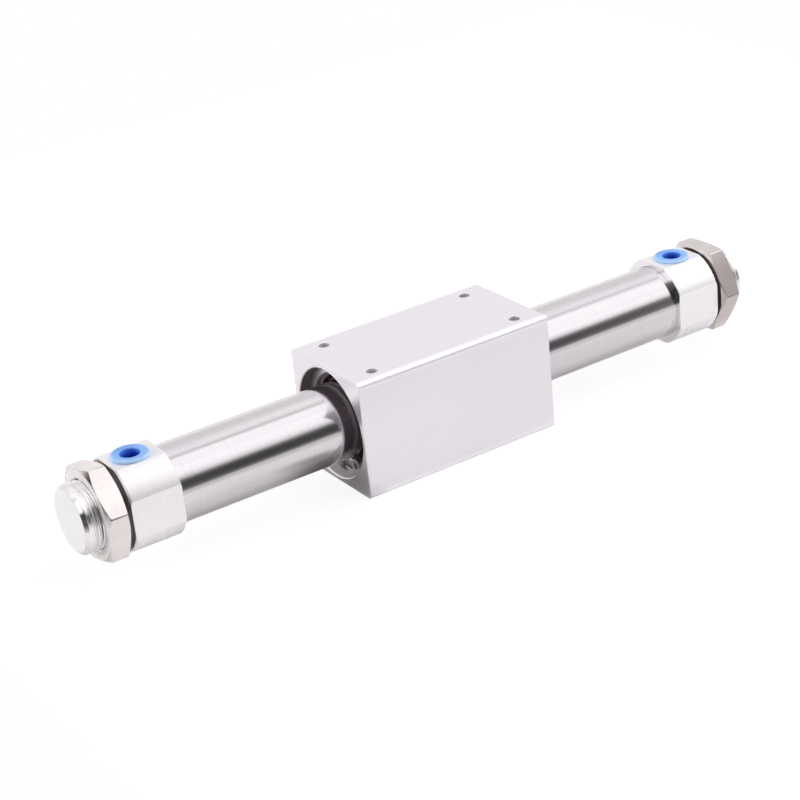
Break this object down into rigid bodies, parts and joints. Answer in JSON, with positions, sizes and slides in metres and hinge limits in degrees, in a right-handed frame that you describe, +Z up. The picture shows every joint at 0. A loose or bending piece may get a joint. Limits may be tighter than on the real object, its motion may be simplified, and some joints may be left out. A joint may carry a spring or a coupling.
{
  "type": "rodless pneumatic cylinder",
  "caption": "Round-tube rodless air cylinder with a square, magnetically coupled slider block, flatted head covers with threaded noses and mounting nuts, and push-in port plugs.",
  "frame": {"origin": "on the tube's axis at mid-stroke, where the slider stands, which is the centre of the whole", "axes": "+X along the tube, +Z up, towards the air ports and the slider's tapped face"},
  "size_m": [0.2314, 0.036, 0.036],
  "materials": {
    "tube_steel": "polished stainless tube",
    "cover_aluminium": "silver anodised, machined",
    "slider_aluminium": "matt silver anodised, extruded",
    "attachment_aluminium": "turned, chromated",
    "collar_aluminium": "turned",
    "nut_steel": "nickel plated",
    "plug_blue": "soft translucent polyethylene",
    "spring_steel": "phosphated spring steel",
    "yoke_steel": "zinc chromated rolled steel",
    "shaft_steel": "ground stainless",
    "magnet": "plated rare earth magnet",
    "nitrile": "black nitrile rubber",
    "urethane": "urethane rubber",
    "oiled_felt": "grease-soaked felt",
    "wear_resin": "bearing resin"
  },
  "bodies": {
    "tube_assembly": {"cylinder_tube": "tube_steel", "head_cover_left": "cover_aluminium", "head_cover_right": "cover_aluminium", "end_collar_left": "collar_aluminium", "end_collar_right": "collar_aluminium", "tube_gasket_left": "nitrile", "tube_gasket_right": "nitrile", "bumper_left": "urethane", "bumper_right": "urethane", "mounting_nut_left": "nut_steel", "mounting_nut_right": "nut_steel"},
    "slider_bearings": {"slider_wear_ring_left": "wear_resin", "slider_wear_ring_right": "wear_resin"},
    "slider": {"slider_body": "slider_aluminium", "hole_ring_left": "spring_steel", "hole_ring_right": "spring_steel", "attachment_ring_left": "attachment_aluminium", "attachment_ring_right": "attachment_aluminium", "scraper_left": "nitrile", "scraper_right": "nitrile", "lube_retainer_left": "oiled_felt", "lube_retainer_right": "oiled_felt", "slider_magnet_1": "magnet", "slider_magnet_2": "magnet", "slider_magnet_3": "magnet", "slider_magnet_4": "magnet", "slider_yoke_1": "yoke_steel", "slider_yoke_2": "yoke_steel", "slider_yoke_3": "yoke_steel", "slider_yoke_4": "yoke_steel", "slider_yoke_5": "yoke_steel"},
    "piston": {"piston_shaft": "shaft_steel", "piston_left": "collar_aluminium", "piston_right": "collar_aluminium", "piston_nut_left": "nut_steel", "piston_nut_right": "nut_steel", "piston_seal_left": "nitrile", "piston_seal_right": "nitrile", "piston_wear_ring_left": "wear_resin", "piston_wear_ring_right": "wear_resin", "piston_magnet_1": "magnet", "piston_magnet_2": "magnet", "piston_magnet_3": "magnet", "piston_magnet_4": "magnet", "piston_yoke_1": "yoke_steel", "piston_yoke_2": "yoke_steel", "piston_yoke_3": "yoke_steel", "piston_yoke_4": "yoke_steel", "piston_yoke_5": "yoke_steel"},
    "port_plug_left": {"port_plug_left": "plug_blue"},
    "port_plug_right": {"port_plug_right": "plug_blue"}
  },
  "joints": [
    {"name": "slider_travel", "type": "slide", "parent": "tube_assembly", "child": "slider_bearings", "axis": [1, 0, 0], "range_m": [-0.05, 0.05]},
    {"name": "slider_turn", "type": "hinge", "parent": "slider_bearings", "child": "slider", "pos_m": [0, 0, 0], "axis": [1, 0, 0], "continuous": true},
    {"name": "piston_travel", "type": "slide", "parent": "tube_assembly", "child": "piston", "axis": [1, 0, 0], "range_m": [-0.05, 0.05]},
    {"name": "port_plug_left_pull", "type": "slide", "parent": "tube_assembly", "child": "port_plug_left", "axis": [0, 0, 1], "range_m": [0, 0.012]},
    {"name": "port_plug_right_pull", "type": "slide", "parent": "tube_assembly", "child": "port_plug_right", "axis": [0, 0, 1], "range_m": [0, 0.012]}
  ],
  "couplings": [
    {"joint": "piston_travel", "follows": "slider_travel", "ratio": 1}
  ]
}
